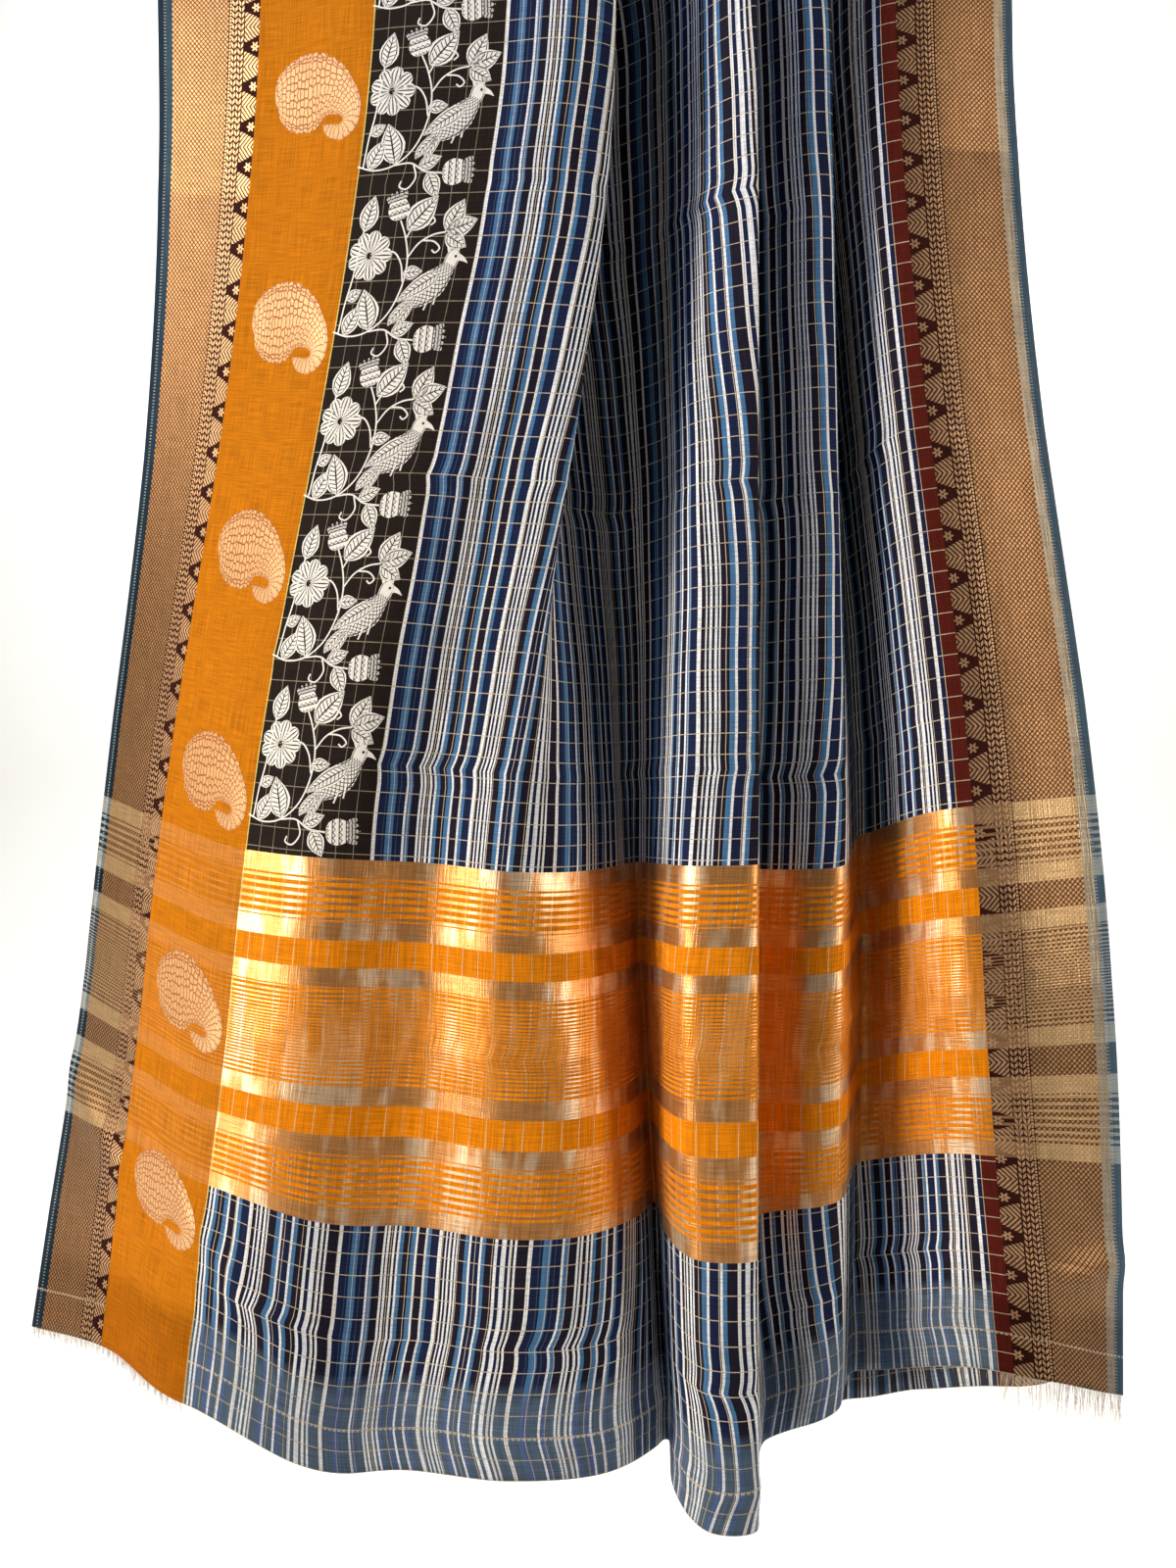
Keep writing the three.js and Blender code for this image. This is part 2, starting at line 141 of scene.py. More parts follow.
def through(heights, values, z):
    """Value at z of cubics between the knots. The slope at a knot is the harmonic mean of those
    on its two sides, or zero where their signs differ, so nothing overshoots."""
    heights = np.asarray(heights, float)
    values = np.asarray(values, float).reshape(len(heights), -1)
    z = np.clip(z, heights[0], heights[-1])
    slopes = np.diff(values, axis=0) / np.diff(heights)[:, None]
    product = slopes[:-1] * slopes[1:]
    total = slopes[:-1] + slopes[1:]
    inner = np.where(product > 0, 2.0 * product / np.where(product > 0, total, 1.0), 0.0)
    tangents = np.concatenate((slopes[:1], inner, slopes[-1:]))
    k = np.clip(np.searchsorted(heights, z, side="right") - 1, 0, len(heights) - 2)
    span = (heights[k + 1] - heights[k])[..., None]
    t = (z - heights[k])[..., None] / span
    return hermite(t, values[k], values[k + 1] - values[k], tangents[k] * span, tangents[k + 1] * span)


def fold_points(side, z):
    """The folds' (x, y) at heights z, as an array with one more axis for the folds."""
    heights, entries = LEVELS[side]
    knots = np.array([[row[entry] for row in FOLDS] for entry in entries], float)
    if side == "front":
        knots[-1, :, 1] *= -1.0
    return through(heights, knots, z).reshape(*np.shape(z), len(FOLDS), 2)


def moved(folds, out):
    """The folds' points moved by out to the left of the line through them, further at a sharp
    fold: by one over the cosine of half its turn, up to a limit."""
    run = np.diff(folds, axis=-2)
    run /= np.linalg.norm(run, axis=-1, keepdims=True)
    before = np.concatenate((run[..., :1, :], run), axis=-2)
    after = np.concatenate((run, run[..., -1:, :]), axis=-2)
    along = before + after
    along /= np.linalg.norm(along, axis=-1, keepdims=True)
    cosine = np.maximum((along * before).sum(-1), 1.0 / MITRE_LIMIT)
    left = np.stack((-along[..., 1], along[..., 0]), axis=-1)
    return folds + left * (np.asarray(out, float)[..., None] / cosine)[..., None]


def spline(knots, place):
    """Point at a place from 0 to the last knot's number: a cubic through the knots whose slopes
    come from the square roots of their distances, so that it makes no loops."""
    first = 2 * knots[..., :1, :] - knots[..., 1:2, :]
    final = 2 * knots[..., -1:, :] - knots[..., -2:-1, :]
    knots = np.concatenate((first, knots, final), axis=-2)
    k = np.clip(np.floor(place).astype(int), 0, knots.shape[-2] - 4)
    t = (place - k)[..., None]
    p = [np.take_along_axis(knots, (k + i)[..., None, None], axis=-2)[..., 0, :] for i in range(4)]
    d = [np.sqrt(np.linalg.norm(p[i + 1] - p[i], axis=-1, keepdims=True)) + 1e-9 for i in range(3)]
    start = d[1] * ((p[1] - p[0]) / d[0] - (p[2] - p[0]) / (d[0] + d[1]) + (p[2] - p[1]) / d[1])
    end = d[1] * ((p[2] - p[1]) / d[1] - (p[3] - p[1]) / (d[1] + d[2]) + (p[3] - p[2]) / d[2])
    return hermite(t, p[1], p[2] - p[1], start, end)


def crease(up):
    """The storage creases: a zigzag that turns at each crease and dies out at the rail."""
    phase = (up - CREASE_FIRST) / CREASE_STEP / 2.0
    zigzag = 1.0 - 4.0 * np.abs(phase - np.floor(phase) - 0.5)
    return CREASE_DEPTH * zigzag * (1.0 - smoothstep(up, LIFT_END, FRONT_FALL))


def buckles(across, up):
    """Sum of the small buckles: each a hump whose height falls off as a bell along both axes."""
    height = np.zeros_like(across)
    for at, level, length, width, angle, rise in BUCKLES:
        turn = np.radians(angle)
        along = (across - at) * np.cos(turn) + (up - level) * np.sin(turn)
        off = (up - level) * np.cos(turn) - (across - at) * np.sin(turn)
        height += rise * np.exp(-(along / length) ** 2 - (off / width) ** 2)
    return height


def hanging(side, rows, out_at, lift, detail=None):
    """A stretch of cloth as grids: points in mm, distance across and up, one row a height. rows
    are heights up the cloth; out_at tells how far out of the doubled cloth's middle it lies."""
    foot = FRONT_HEM if side == "front" else BACK_FOOT
    outwards = -1.0 if side == "front" else 1.0
    mean = fold_points(side, foot + rows)
    line = spline(mean[:, None], np.broadcast_to(COLUMNS, (len(rows), len(COLUMNS))))
    run = np.linalg.norm(np.diff(line, axis=1), axis=-1)
    across = np.concatenate((np.zeros((len(rows), 1)), np.cumsum(run, axis=1)), axis=1)
    across *= CLOTH_WIDTH / across[:, -1:]
    up = np.broadcast_to(rows[:, None], across.shape)
    z = foot + up + lift(across, up)
    knots = moved(fold_points(side, z), outwards * out_at(z))
    flat = spline(knots, np.broadcast_to(COLUMNS, across.shape))
    points = np.dstack((flat[..., 0], flat[..., 1] - outwards * crease(up), z))
    if detail:
        points += normals_of(points) * detail(across, up)[..., None]
    return points, across, up


def normals_of(points):
    """Unit normals of a grid of points, facing forward, from its two directions' differences."""
    normal = np.cross(np.gradient(points, axis=1), np.gradient(points, axis=0))
    return normal / np.linalg.norm(normal, axis=-1, keepdims=True)


def over_rail(side, layer, points, across, up, steps=7):
    """Adds the rows of a quarter turn over the rail, from level with its centre to the ridge."""
    sign = -1.0 if side == "front" else 1.0
    knots = moved(fold_points(side, np.array([RAIL_LEVEL])), sign * layer * GAP_AT_RAIL / 2)
    rim = spline(knots[:, None], COLUMNS[None])[0]
    angle = np.linspace(0.0, np.pi / 2, steps)[:, None]
    radius = np.abs(rim[None, :, 1])
    y = sign * np.maximum(radius * np.cos(angle), RIDGE_GAP / 2)
    x = np.broadcast_to(rim[None, :, 0], y.shape)
    turn = np.dstack((x, y, RAIL_LEVEL + radius * np.sin(angle)))
    turned = up[-1:] + RIDGE_ARC * (angle + 1e-3) / (np.pi / 2)
    return (
        np.concatenate((points, turn)),
        np.concatenate((across, np.repeat(across[-1:], steps, axis=0))),
        np.concatenate((up, np.broadcast_to(turned, (steps, across.shape[1])))),
    )


def half_gap(z):
    """Half the distance between the two cloths: it grows evenly from the rail to the hem."""
    share = (RAIL_LEVEL - z) / FRONT_FALL
    return (GAP_AT_RAIL + (GAP_AT_HEM - GAP_AT_RAIL) * share) / 2.0


def front_lift(across, up):
    """How far a weft line of the decorated end hangs above the mean: the hem's figure near the
    hem, the body's above it, fading out towards the rail."""
    both = through(LIFT[:, 0], LIFT[:, 1:], across)
    lift = both[..., 1] + (both[..., 0] - both[..., 1]) * smoothstep(up, 0.0, BODY_HEIGHT)
    return lift * (1.0 - smoothstep(up, LIFT_END, FRONT_FALL))


def rows_up(lowest, between, top, last):
    """Heights of the rows of mesh: the lowest ones, so many from each crease to the next, and the
    last ones up to the top."""
    creased = CREASE_FIRST + np.arange(5 * between) * CREASE_STEP / between
    highest = np.linspace(CREASE_FIRST + 5 * CREASE_STEP, top, last)
    return np.concatenate((lowest, creased, highest))


def link_mesh(name, material, vertices, faces, uv=None):
    """A new object in metres from points in mm, faces and a UV pair for each point."""
    mesh = bpy.data.meshes.new(name)
    mesh.from_pydata((np.asarray(vertices) / 1000.0).tolist(), [], np.asarray(faces).tolist())
    if uv is not None:
        layer = mesh.uv_layers.new(name="UVMap")
        corner = np.empty(len(mesh.loops), np.int32)
        mesh.loops.foreach_get("vertex_index", corner)
        layer.data.foreach_set("uv", np.asarray(uv, np.float32)[corner].ravel())
    mesh.materials.append(material)
    mesh.shade_smooth()
    item = bpy.data.objects.new(name, mesh)
    bpy.context.scene.collection.objects.link(item)
    return item


def grid_faces(high, wide, front):
    """Quads of a grid, turned so that their normals face the way front tells, -1 for -Y."""
    low = (np.arange(high - 1)[:, None] * wide + np.arange(wide - 1)).ravel()
    quads = np.stack((low, low + 1, low + wide + 1, low + wide), axis=1)
    return quads if front < 0 else quads[:, ::-1]


def drift(across, up):
    """How far the field's print and threads stray sideways: slow waves, a kink at each storage
    crease, and a lean that grows from the hem to the crease along it and fades above."""
    stray = 0.7 * np.sin(up / 47.0 + across / 90.0) + 0.4 * np.sin(up / 19.0 - across / 61.0)
    off = (up - CREASE_FIRST + CREASE_STEP / 2) % CREASE_STEP - CREASE_STEP / 2
    kink = KINK * (0.5 + np.sin(across / 37.0 + up / 120.0)) * np.exp(-(off / KINK_WIDTH) ** 2)
    lean = HEM_LEAN * np.sin(across / 105.0 - 2.6) * np.where(
        up < HEM_CREASE, up / HEM_CREASE, 1.0 - smoothstep(up, HEM_CREASE, HEM_LEAN_END))
    field = smoothstep(across, STRIP_END, STRIP_END + 60.0)
    field -= smoothstep(across, FIELD_END - 50.0, FIELD_END)
    return field * (stray + kink + lean)


def cloth(name, stretch, front, material):
    """The object of a stretch: its grid with the distances in mm as UVs, made a thin shell."""
    points, across, up = stretch
    uv = np.dstack((across + drift(across, up), up)).reshape(-1, 2)
    faces = grid_faces(*across.shape, front)
    item = link_mesh(name, material, points.reshape(-1, 3), faces, uv)
    shell = item.modifiers.new("thickness", "SOLIDIFY")
    shell.thickness = SHELL / 1000.0
    shell.offset = 0.0
    return item


def colour(text):
    """Linear RGBA of an sRGB hex colour: below 0.04045 over 12.92, else a power of 2.4."""
    srgb = np.array([int(text[i:i + 2], 16) for i in (0, 2, 4)]) / 255.0
    linear = np.where(srgb <= 0.04045, srgb / 12.92, ((srgb + 0.055) / 1.055) ** 2.4)
    return (*linear.tolist(), 1.0)


def node(tree, kind, inputs=(), **settings):
    """Adds a node with its settings, and links its inputs, given by name or number, to sockets or
    fills them with values or hex colours."""
    made = tree.nodes.new("ShaderNode" + kind)
    for name, value in settings.items():
        setattr(made, name, value)
    for key, value in dict(inputs).items():
        if isinstance(value, bpy.types.NodeSocket):
            tree.links.new(value, made.inputs[key])
        else:
            made.inputs[key].default_value = colour(value) if isinstance(value, str) else value
    return made


def tree_of(*values):
    """The node tree of the first socket among these values."""
    return next(value.id_data for value in values if isinstance(value, bpy.types.NodeSocket))


def calc(operation, *values):
    """The result of a maths node on these values or sockets."""
    tree = tree_of(*values)
    return node(tree, "Math", dict(enumerate(values)), operation=operation).outputs[0]


def blend(share, base, over):
    """Colour over laid on colour base by share."""
    tree = tree_of(share, base, over)
    return node(tree, "Mix", {0: share, 6: base, 7: over}, data_type="RGBA").outputs[2]


def below(value, limit):
    """1 where value is less than limit, else 0."""
    return calc("LESS_THAN", value, limit)


def minus(value, other):
    """The difference of two values or sockets."""
    return calc("SUBTRACT", value, other)


def within(value, low, high):
    """1 where value lies between low and high, else 0."""
    return calc("MULTIPLY", calc("GREATER_THAN", value, low), below(value, high))


def lines(value, spacing, width, start=0.0):
    """1 on lines of this width, one every spacing from start, else 0. start lies below the values
    that count, as the remainder of a negative number is negative."""
    shifted = minus(value, start - spacing)
    return below(calc("MODULO", shifted, spacing), width)


def times(result, *others):
    """The product of these values or sockets."""
    for other in others:
        result = calc("MULTIPLY", result, other)
    return result


def most(result, *others):
    """The largest of these values or sockets."""
    for other in others:
        result = calc("MAXIMUM", result, other)
    return result


NAVY, BLACK, WHITE, BLUE, GREY = "1a2445", "201c2c", "f1f3f5", "4b7aa6", "465268"
# The printed stripes of one repeat, left to right: width in mm and colour.
STRIPES = (
    (2.6, WHITE), (3.0, NAVY), (0.5, GREY), (1.5, NAVY), (0.5, GREY), (1.5, NAVY), (5.5, BLUE),
    (3.0, NAVY), (0.5, GREY), (4.0, NAVY), (1.7, WHITE), (3.2, BLUE), (5.5, BLACK), (1.6, WHITE),
    (1.6, NAVY), (1.6, WHITE), (2.6, BLACK), (1.6, WHITE), (2.0, NAVY), (1.6, WHITE), (2.5, BLUE),
    (6.0, BLACK), (3.0, BLUE), (1.8, WHITE), (5.5, BLACK), (2.0, WHITE), (2.5, BLUE), (6.0, NAVY),
    (3.0, WHITE), (2.5, BLACK), (1.5, WHITE), (1.5, NAVY), (1.5, WHITE), (2.0, BLACK),
    (1.5, WHITE), (1.0, NAVY), (1.0, WHITE), (6.0, BLACK), (3.0, BLUE), (1.8, WHITE), (6.5, NAVY),
    (1.8, WHITE), (3.0, BLUE), (6.5, BLACK), (2.6, WHITE), (2.5, NAVY), (3.2, WHITE), (2.5, NAVY),
    (1.5, WHITE), (2.0, BLACK), (1.5, WHITE), (8.0, BLACK),
)
# Ends of the border's parts from the cloth's nearer edge. The maroon is at the right only.
SELVEDGE_END, ZARI_END, BROCADE_END, MAROON_END = 8.0, 68.0, 98.0, 110.0
DARK_EDGE = 14.0  # end of the left border's dark edge
GREY_EDGE = 16.0  # and of the right zari's grey part
STRIP_START = BROCADE_END  # the orange strip
STRIP_END = 215.0  # and the black floral strip up to the field
FIELD_START = 320.0
FIELD_END = CLOTH_WIDTH - MAROON_END
CHECK_ACROSS = 13.1  # spacing of the gold warp threads
CHECK_UP = 15.75  # and of the gold weft threads
BAND = (178.0, 453.0)
# The band's wide gold bars and its groups of fine gold lines, by their edges up from the hem.
BARS = ((178, 191), (230, 244), (267, 282), (357, 371), (392, 406), (439, 453))
FINE_LINES = ((193, 229, 5.6), (407, 438, 5.6))
LINE_SHARE = 0.42  # gold part of a fine line's spacing
GRADED = (283.0, 356.0)
GRADED_STEP, GRADED_GROWTH = 2.2, 2.0  # spacing in the group's middle, and what its ends add
DIAPER_STEP = 4.2
# The brocade edging: its dotted line, its two columns of leaves, its fans and its rosettes.
DOTTED_LINE = (69.0, 70.6)
LEAF_COLUMNS = (73.8, 80.0)
FAN_STEP, FAN_TIP, FAN_FOOT, FAN_LEAF = 32.0, 99.0, 83.8, 3.8
ROSETTE_MIDDLE = 94.2
SHEER_AND_BACKLIGHT_HEIGHTS = (53.0, 71.0)  # between these the light through the hem's single layer fades out
ORANGE, STRIP_ORANGE, MAROON, FLORAL = "ec8a08", "c27204", "5a1c12", "231b17"
SELVEDGE, DARK_SELVEDGE, LIGHT_SELVEDGE = "4a5f70", "1d303e", "c8cdc8"
ZARI, DARK_ZARI, LIGHT_ZARI, GREY_ZARI = "b78e64", "4c2d1a", "cdaa7c", "a39c8c"
# The third gold on the next line is a painted glint, laid in patches on the band's bars.
CHECK_GOLD, BAR_GOLD, PAINTED_GLINT_GOLD, BROCADE_GOLD = "dccbac", "d29a62", "fbe6c4", "cfa77e"
BROCADE_GROUND, YELLOW_LINE, STITCH, HEM_STITCH = "34110b", "d9c95c", "aeb4b0", "fbeed6"
# The first colour on the next line is painted backlight: the pale blue-grey that the ground near the
# hem is lightened to.
PAINTED_BACKLIGHT, WASHED_OUT = "64788c", "8a929c"


def stripes(tree, across):
    """The field's printed stripes: colour ramps without blending, because one holds 32 stops."""
    widths = np.array([row[0] for row in STRIPES])
    period = widths.sum()
    starts = np.concatenate(((0.0,), np.cumsum(widths)[:-1])) / period
    share = calc("FRACT", calc("DIVIDE", minus(across, FIELD_START), period))
    stops_each = 26
    for first in range(0, len(STRIPES), stops_each):
        ramp = node(tree, "ValToRGB", {"Fac": share})
        ramp.color_ramp.interpolation = "CONSTANT"
        stops = ramp.color_ramp.elements
        stops.remove(stops[1])
        for k in range(first, min(first + stops_each, len(STRIPES))):
            stop = stops[0] if k == first else stops.new(starts[k])
            stop.position = starts[k]
            stop.color = colour(STRIPES[k][1])
        part = ramp.outputs["Color"]
        result = blend(calc("GREATER_THAN", share, starts[first]), result, part) if first else part
    return result


def band_gold(up):
    """1 on the band's gold bars and lines, else 0. The graded lines' spacing grows as the square
    of the way from their middle; their phase is the integral of one over it, an arctangent."""
    bars = [within(up, low, high) for low, high in BARS]
    for low, high, spacing in FINE_LINES:
        fine = lines(up, spacing, spacing * LINE_SHARE, low)
        bars.append(times(within(up, low, high), fine))
    middle, half = sum(GRADED) / 2.0, (GRADED[1] - GRADED[0]) / 2.0
    offset = calc("DIVIDE", minus(up, middle), half)
    angle = calc("ARCTANGENT", times(offset, (GRADED_GROWTH / GRADED_STEP) ** 0.5))
    phase = times(angle, half / (GRADED_STEP * GRADED_GROWTH) ** 0.5)
    phase = calc("FRACT", calc("ADD", phase, 100.0))
    graded = below(phase, LINE_SHARE)
    bars.append(times(within(up, *GRADED), graded))
    return most(*bars)


def brocade(edge, up):
    """1 on the gold of the brocade edging: a dotted line, two columns of slanting leaves, leafy
    fans that point inwards with V-shaped veins, and rosettes of six petals between them."""
    gold = times(lines(up, 2.6, 1.7), within(edge, *DOTTED_LINE))
    for centre in LEAF_COLUMNS:
        off = calc("ABSOLUTE", minus(edge, centre))
        slanted = calc("MULTIPLY_ADD", off, -1.1, up)
        leaf = times(lines(slanted, 5.0, 3.0, -20.0), within(off, 0.45, 2.6))
        gold = most(gold, leaf)
    off = calc("PINGPONG", up, FAN_STEP / 2)
    vein = calc("MULTIPLY_ADD", off, -0.9, edge)
    reach = minus(FAN_TIP, calc("SNAP", vein, FAN_LEAF))
    half_width = times(calc("POWER", reach, 0.62), 1.55)
    leaf = calc("GREATER_THAN", calc("MODULO", vein, FAN_LEAF), 1.5)
    fan = times(below(off, half_width), calc("GREATER_THAN", edge, FAN_FOOT), leaf)
    far = minus(FAN_STEP / 2, off)
    side = minus(edge, ROSETTE_MIDDLE)
    turn = calc("ARCTAN2", far, side)
    petals = calc("MULTIPLY_ADD", calc("COSINE", times(turn, 6.0)), 1.1, 3.1)
    reach = calc("SQRT", calc("MULTIPLY_ADD", far, far, times(side, side)))
    rosette = times(below(reach, petals), calc("GREATER_THAN", reach, 0.8))
    return most(gold, fan, rosette)


def empty_material(name):
    """A new material and its node tree, without nodes."""
    material = bpy.data.materials.new(name)
    material.use_nodes = True
    material.node_tree.nodes.clear()
    return material, material.node_tree


def uv_parts(tree):
    """The UV as a vector, and its U and V alone."""
    place = node(tree, "UVMap", uv_map="UVMap").outputs[0]
    parts = node(tree, "SeparateXYZ", {0: place})
    return place, parts.outputs[0], parts.outputs[1]


def cloth_noise(tree, place, across, up, detail):
    """Soft noise on the cloth, with so many cells a mm across and up."""
    run = node(tree, "Mapping", {"Vector": place, "Scale": (across, up, 1.0)}).outputs[0]
    return node(tree, "TexNoise", {"Vector": run, "Scale": 1.0, "Detail": detail},
                noise_dimensions="2D").outputs["Fac"]


def grain(tree, scale, detail):
    """Soft noise through space, with so many cells a metre."""
    place = node(tree, "TexCoord").outputs["Object"]
    return node(tree, "TexNoise", {"Vector": place, "Scale": scale, "Detail": detail}).outputs["Fac"]


def woven(name, banded, paleness):
    """The saree's cloth: stripes, checks, strips and borders by the distance across and up in mm.
    banded puts the gold band near the hem; paleness is how washed out its wrong side looks."""
    material, tree = empty_material(name)
    place, across, up = uv_parts(tree)
    from_right = minus(CLOTH_WIDTH, across)
    edge = calc("MINIMUM", across, from_right)

    # The printed ground with painted backlight near the hem, and the strips and bands of plain colour
    # on it.
    floral = within(across, STRIP_END, FIELD_START)
    in_strip = within(across, STRIP_START, STRIP_END)
    maroon = within(from_right, BROCADE_END, MAROON_END)
    checked = within(across, STRIP_END, CLOTH_WIDTH - BROCADE_END)
    weft = lines(up, CHECK_UP, 0.65)
    sheer_and_painted_backlight = in_band = bars = times(up, 0.0)
    if banded:
        in_band = within(up, *BAND)
        outside = minus(1.0, in_band)
        bars = times(band_gold(up), in_band)
        floral = times(floral, calc("GREATER_THAN", up, BAND[1]))
        maroon = times(maroon, outside)
        weft = times(weft, outside)
        # Painted backlight: below these heights the ground colour is lightened to a pale blue-grey,
        # standing in for light shining through the hem's single layer; the same share also raises the
        # real translucency.
        sheer_and_painted_backlight = node(tree, "MapRange", {"Value": up, 1: SHEER_AND_BACKLIGHT_HEIGHTS[0], 2: SHEER_AND_BACKLIGHT_HEIGHTS[1], 3: 1.0, 4: 0.0})
        sheer_and_painted_backlight = sheer_and_painted_backlight.outputs[0]
    base = blend(floral, stripes(tree, across), FLORAL)
    base = node(tree, "Mix", {0: sheer_and_painted_backlight, 6: base, 7: PAINTED_BACKLIGHT}, data_type="RGBA",
                blend_type="LIGHTEN").outputs[2]
    for share, tint in (
        (in_band, ORANGE), (in_strip, STRIP_ORANGE), (times(bars, in_strip, 0.28), BAR_GOLD),
        (maroon, MAROON), (within(across, STRIP_END, STRIP_END + 1.0), YELLOW_LINE),
    ):
        base = blend(share, base, tint)

    # Gold check threads, and the band's bars where they cross the field, with painted glints on the
    # bars.
    checks = most(lines(across, CHECK_ACROSS, 0.5, STRIP_END), weft)
    gold = times(most(checks, bars), checked)
    faint = calc("MULTIPLY_ADD", floral, -0.45, 0.85)
    # Painted glints: noise lays patches of pale, near-white gold on the bars, standing in for light
    # catching the gold thread.
    painted_glint = cloth_noise(tree, place, 0.055, 0.012, 2.0)
    painted_glint = node(tree, "MapRange", {"Value": painted_glint, 1: 0.5, 2: 0.64, 3: 0.0, 4: 0.75}).outputs[0]
    bars_with_painted_glints = blend(painted_glint, BAR_GOLD, PAINTED_GLINT_GOLD)
    base = blend(times(gold, faint), base, blend(bars, CHECK_GOLD, bars_with_painted_glints))

    # The borders: a diaper of gold thread, the brocade edging on maroon, and the selvedge.
    diaper = most(lines(calc("ADD", edge, up), DIAPER_STEP, 1.35),
                  lines(minus(up, edge), DIAPER_STEP, 1.1, -55 * DIAPER_STEP))
    diaper = calc("MULTIPLY_ADD", bars, -0.7, diaper)
    zari = blend(diaper, blend(bars, ZARI, LIGHT_ZARI), DARK_ZARI)
    grey = times(within(from_right, SELVEDGE_END, GREY_EDGE), 0.75)
    zari = blend(grey, zari, GREY_ZARI)
    motif = brocade(edge, up)
    ground = blend(times(bars, 0.5), BROCADE_GROUND, ZARI)
    edging = blend(motif, ground, BROCADE_GOLD)
    selvedge = blend(below(across, FIELD_START), SELVEDGE, DARK_SELVEDGE)
    stitches = times(lines(up, 2.6, 1.2), within(edge, 5.5, SELVEDGE_END), 0.6)
    selvedge = blend(stitches, selvedge, STITCH)
    selvedge = blend(times(bars, 0.5), selvedge, LIGHT_SELVEDGE)
    in_zari = within(edge, SELVEDGE_END, ZARI_END)
    in_brocade = within(edge, ZARI_END, BROCADE_END)
    in_selvedge = most(below(edge, SELVEDGE_END), below(across, DARK_EDGE))
    base = blend(in_zari, base, zari)
    base = blend(in_brocade, base, edging)
    base = blend(in_selvedge, base, selvedge)
    if banded:
        hem = times(within(up, HEM_CREASE - 0.8, HEM_CREASE + 0.8), lines(across, 3.6, 2.4), 0.5)
        hem = times(hem, most(checked, below(edge, BROCADE_END)))
        base = blend(hem, base, HEM_STITCH)

    # Thread streaks along the warp and slubs along the weft; the storage creases tilt the cloth.
    streaks = cloth_noise(tree, place, 0.9, 0.03, 1.0)
    thread = calc("ADD", streaks, cloth_noise(tree, place, 0.04, 1.1, 1.0))
    value = calc("MULTIPLY_ADD", thread, 0.7, 0.3)
    base = node(tree, "HueSaturation", {"Value": value, "Color": base}).outputs[0]
    base = blend(paleness, base, WASHED_OUT)
    panel = minus(up, CREASE_FIRST - 4 * CREASE_STEP)
    tilt = times(calc("PINGPONG", panel, CREASE_STEP), CREASE_TILT)
    height = calc("MULTIPLY_ADD", thread, 0.22, tilt)
    bump = node(tree, "Bump", {"Strength": 1.0, "Distance": 0.001, "Height": height})

    shine = most(in_zari, times(in_brocade, motif), times(checked, bars))
    skin = node(tree, "BsdfPrincipled", {
        "Base Color": base, "Metallic": times(shine, 0.7),
        "Roughness": calc("MULTIPLY_ADD", shine, -0.4, 0.8),
        "Specular IOR Level": 0.1, "Normal": bump.outputs[0],
    })
    through_light = node(tree, "BsdfTranslucent", {"Color": base})
    share = calc("MULTIPLY_ADD", sheer_and_painted_backlight, 0.3, 0.08)
    mixed = node(tree, "MixShader", {0: share, 1: skin.outputs[0], 2: through_light.outputs[0]})
    node(tree, "OutputMaterial", {"Surface": mixed.outputs[0]})
    return material


front_rows = rows_up(np.linspace(0.0, CREASE_FIRST, 15)[:-1], 30, FRONT_FALL, 22)
front_cloth = hanging("front", front_rows, half_gap, front_lift, buckles)
front_cloth = over_rail("front", 1.0, *front_cloth)
pallu_cloth = woven("striped_cotton_with_gold_band", True, 0.0)
pallu = cloth("pallu_front", front_cloth, -1.0, pallu_cloth)
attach(pallu, "root")
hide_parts("pallu_front_fall")

# Plain end, the inner cloth in front.
# The saree's other end, hanging behind the decorated one with its wrong side to the front; the
# same cloth without the band. It turns over the rail inside the outer cloth.
# How much higher than the front hem's mean line its edge hangs: across, rise.
END_EDGE = np.array((
    (0, 90), (350, 66), (600, 48), (740, 16), (850, 14), (890, 0), (905, -3), (978, 24), (1050, 45),
    (1150, 50),
), float)


def end_lift(across, up):
    """The edge's rise at a distance across, less of it further up."""
    rise = through(END_EDGE[:, 0], END_EDGE[:, 1], across)[..., 0]
    return rise * (1.0 - up / FRONT_FALL)


end_rows = rows_up(np.linspace(0.0, CREASE_FIRST, 10)[:-1], 15, FRONT_FALL, 12)
end_cloth = hanging("front", end_rows, lambda z: -half_gap(z), end_lift)
end_cloth = over_rail("front", -1.0, *end_cloth)
wrong_side = woven("wrong_side_of_the_cloth", False, 0.14)
plain_end = cloth("plain_end", end_cloth, -1.0, wrong_side)
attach(plain_end, "root")
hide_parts("plain_end_fall")

# Back stretches, outer and inner.
# The middle of the saree's length behind the rail: it runs down outside, turns at the fold at
# its foot and runs up again inside. The same printed cloth and borders.
BACK_LIFT = 18.0
BACK_WAVES = 2.5  # waves of the fold at the foot over the cloth's width


def back_lift(across, up):
    """The fold at the foot waves up and down, less so further up."""
    wave = BACK_LIFT * np.cos(across / CLOTH_WIDTH * BACK_WAVES * 2 * np.pi)
    return wave * (1.0 - smoothstep(up, 0.0, LIFT_END))


def back_out(layer):
    """Distance out of the middle: an arc about the fold at the foot, then half the gap."""
    radius = GAP_AT_HEM / 2
    least = 0.75

    def out(z):
        height = np.maximum(z - BACK_FOOT, 0.0)
        arc = np.sqrt(np.maximum(radius ** 2 - (radius - np.minimum(height, radius)) ** 2, 0.0))
        return layer * np.where(height < radius, np.maximum(arc, least), half_gap(z))
    return out


